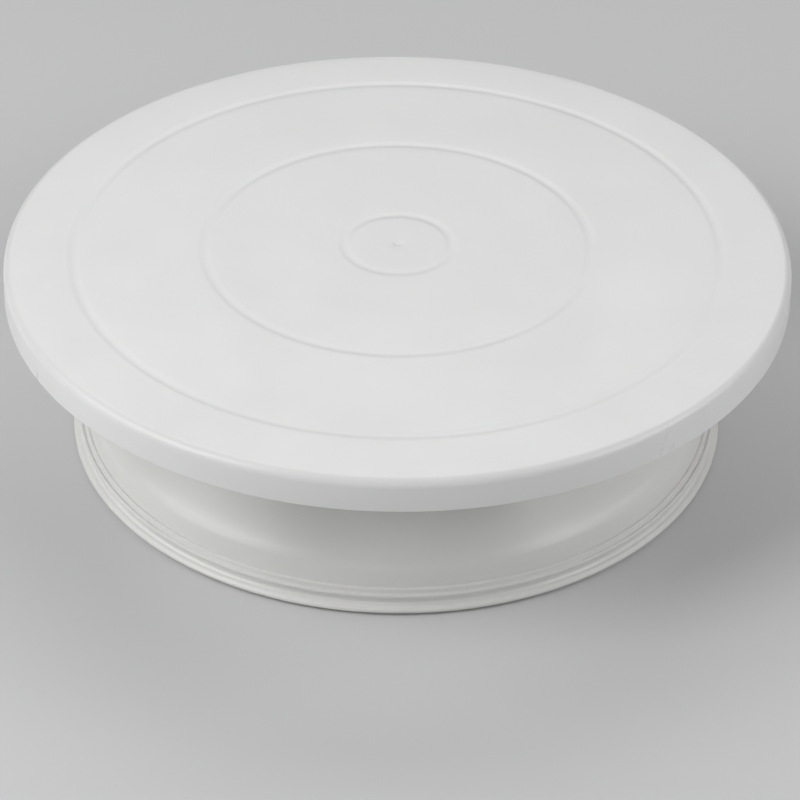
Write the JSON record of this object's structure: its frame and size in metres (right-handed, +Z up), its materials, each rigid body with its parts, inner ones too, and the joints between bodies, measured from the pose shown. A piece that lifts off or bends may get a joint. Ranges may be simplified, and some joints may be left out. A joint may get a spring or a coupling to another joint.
{
  "type": "cake turntable",
  "caption": "Low round cake stand: a flat plate with shallow ring grooves and a rim skirt spins on a ball race over a hollow conical pedestal with rubber feet.",
  "frame": {"origin": "on the axis of rotation, at the plane that the rubber feet stand on", "axes": "+Z up along the axis of rotation, out of the plate's top face; -Y towards the viewer, +X to the viewer's right"},
  "size_m": [0.28, 0.28, 0.0725],
  "materials": {
    "plate_plastic": "satin white moulded polypropylene",
    "pedestal_plastic": "satin white moulded polypropylene",
    "cage_plastic": "natural acetal",
    "ball_steel": "polished bearing steel",
    "spindle_steel": "turned steel",
    "bush_plastic": "black nylon",
    "washer_steel": "zinc-plated steel",
    "screw_steel": "zinc-plated steel",
    "foot_rubber": "matt dark grey"
  },
  "bodies": {
    "stand": {"pedestal": "pedestal_plastic", "hub_bush": "bush_plastic", "rubber_foot_1": "foot_rubber", "rubber_foot_2": "foot_rubber", "rubber_foot_3": "foot_rubber", "rubber_foot_4": "foot_rubber", "rubber_foot_5": "foot_rubber", "rubber_foot_6": "foot_rubber"},
    "plate": {"turntable_plate": "plate_plastic", "spindle": "spindle_steel", "retaining_washer": "washer_steel", "retaining_screw": "screw_steel"},
    "cage": {"ball_cage": "cage_plastic"},
    "ball_01": {"bearing_ball_01": "ball_steel"},
    "ball_02": {"bearing_ball_02": "ball_steel"},
    "ball_03": {"bearing_ball_03": "ball_steel"},
    "ball_04": {"bearing_ball_04": "ball_steel"},
    "ball_05": {"bearing_ball_05": "ball_steel"},
    "ball_06": {"bearing_ball_06": "ball_steel"},
    "ball_07": {"bearing_ball_07": "ball_steel"},
    "ball_08": {"bearing_ball_08": "ball_steel"},
    "ball_09": {"bearing_ball_09": "ball_steel"},
    "ball_10": {"bearing_ball_10": "ball_steel"},
    "ball_11": {"bearing_ball_11": "ball_steel"},
    "ball_12": {"bearing_ball_12": "ball_steel"},
    "ball_13": {"bearing_ball_13": "ball_steel"},
    "ball_14": {"bearing_ball_14": "ball_steel"},
    "ball_15": {"bearing_ball_15": "ball_steel"},
    "ball_16": {"bearing_ball_16": "ball_steel"}
  },
  "joints": [
    {"name": "plate_spin", "type": "hinge", "parent": "stand", "child": "plate", "pos_m": [0, 0, 0.0645], "axis": [0, 0, 1], "continuous": true},
    {"name": "cage_spin", "type": "hinge", "parent": "stand", "child": "cage", "pos_m": [0, 0, 0.0645], "axis": [0, 0, 1], "continuous": true},
    {"name": "ball_01_roll", "type": "hinge", "parent": "cage", "child": "ball_01", "pos_m": [0.042, 0, 0.0645], "axis": [1, 0, 0], "continuous": true},
    {"name": "ball_02_roll", "type": "hinge", "parent": "cage", "child": "ball_02", "pos_m": [0.0388, 0.01607, 0.0645], "axis": [0.9239, 0.3827, 0], "continuous": true},
    {"name": "ball_03_roll", "type": "hinge", "parent": "cage", "child": "ball_03", "pos_m": [0.0297, 0.0297, 0.0645], "axis": [0.7071, 0.7071, 0], "continuous": true},
    {"name": "ball_04_roll", "type": "hinge", "parent": "cage", "child": "ball_04", "pos_m": [0.01607, 0.0388, 0.0645], "axis": [0.3827, 0.9239, 0], "continuous": true},
    {"name": "ball_05_roll", "type": "hinge", "parent": "cage", "child": "ball_05", "pos_m": [0, 0.042, 0.0645], "axis": [0, 1, 0], "continuous": true},
    {"name": "ball_06_roll", "type": "hinge", "parent": "cage", "child": "ball_06", "pos_m": [-0.01607, 0.0388, 0.0645], "axis": [-0.3827, 0.9239, 0], "continuous": true},
    {"name": "ball_07_roll", "type": "hinge", "parent": "cage", "child": "ball_07", "pos_m": [-0.0297, 0.0297, 0.0645], "axis": [-0.7071, 0.7071, 0], "continuous": true},
    {"name": "ball_08_roll", "type": "hinge", "parent": "cage", "child": "ball_08", "pos_m": [-0.0388, 0.01607, 0.0645], "axis": [-0.9239, 0.3827, 0], "continuous": true},
    {"name": "ball_09_roll", "type": "hinge", "parent": "cage", "child": "ball_09", "pos_m": [-0.042, 0, 0.0645], "axis": [-1, 0, 0], "continuous": true},
    {"name": "ball_10_roll", "type": "hinge", "parent": "cage", "child": "ball_10", "pos_m": [-0.0388, -0.01607, 0.0645], "axis": [-0.9239, -0.3827, 0], "continuous": true},
    {"name": "ball_11_roll", "type": "hinge", "parent": "cage", "child": "ball_11", "pos_m": [-0.0297, -0.0297, 0.0645], "axis": [-0.7071, -0.7071, 0], "continuous": true},
    {"name": "ball_12_roll", "type": "hinge", "parent": "cage", "child": "ball_12", "pos_m": [-0.01607, -0.0388, 0.0645], "axis": [-0.3827, -0.9239, 0], "continuous": true},
    {"name": "ball_13_roll", "type": "hinge", "parent": "cage", "child": "ball_13", "pos_m": [0, -0.042, 0.0645], "axis": [0, -1, 0], "continuous": true},
    {"name": "ball_14_roll", "type": "hinge", "parent": "cage", "child": "ball_14", "pos_m": [0.01607, -0.0388, 0.0645], "axis": [0.3827, -0.9239, 0], "continuous": true},
    {"name": "ball_15_roll", "type": "hinge", "parent": "cage", "child": "ball_15", "pos_m": [0.0297, -0.0297, 0.0645], "axis": [0.7071, -0.7071, 0], "continuous": true},
    {"name": "ball_16_roll", "type": "hinge", "parent": "cage", "child": "ball_16", "pos_m": [0.0388, -0.01607, 0.0645], "axis": [0.9239, -0.3827, 0], "continuous": true}
  ],
  "couplings": [
    {"joint": "cage_spin", "follows": "plate_spin", "ratio": 0.5},
    {"joint": "ball_01_roll", "follows": "plate_spin", "ratio": -7},
    {"joint": "ball_02_roll", "follows": "plate_spin", "ratio": -7},
    {"joint": "ball_03_roll", "follows": "plate_spin", "ratio": -7},
    {"joint": "ball_04_roll", "follows": "plate_spin", "ratio": -7},
    {"joint": "ball_05_roll", "follows": "plate_spin", "ratio": -7},
    {"joint": "ball_06_roll", "follows": "plate_spin", "ratio": -7},
    {"joint": "ball_07_roll", "follows": "plate_spin", "ratio": -7},
    {"joint": "ball_08_roll", "follows": "plate_spin", "ratio": -7},
    {"joint": "ball_09_roll", "follows": "plate_spin", "ratio": -7},
    {"joint": "ball_10_roll", "follows": "plate_spin", "ratio": -7},
    {"joint": "ball_11_roll", "follows": "plate_spin", "ratio": -7},
    {"joint": "ball_12_roll", "follows": "plate_spin", "ratio": -7},
    {"joint": "ball_13_roll", "follows": "plate_spin", "ratio": -7},
    {"joint": "ball_14_roll", "follows": "plate_spin", "ratio": -7},
    {"joint": "ball_15_roll", "follows": "plate_spin", "ratio": -7},
    {"joint": "ball_16_roll", "follows": "plate_spin", "ratio": -7}
  ]
}
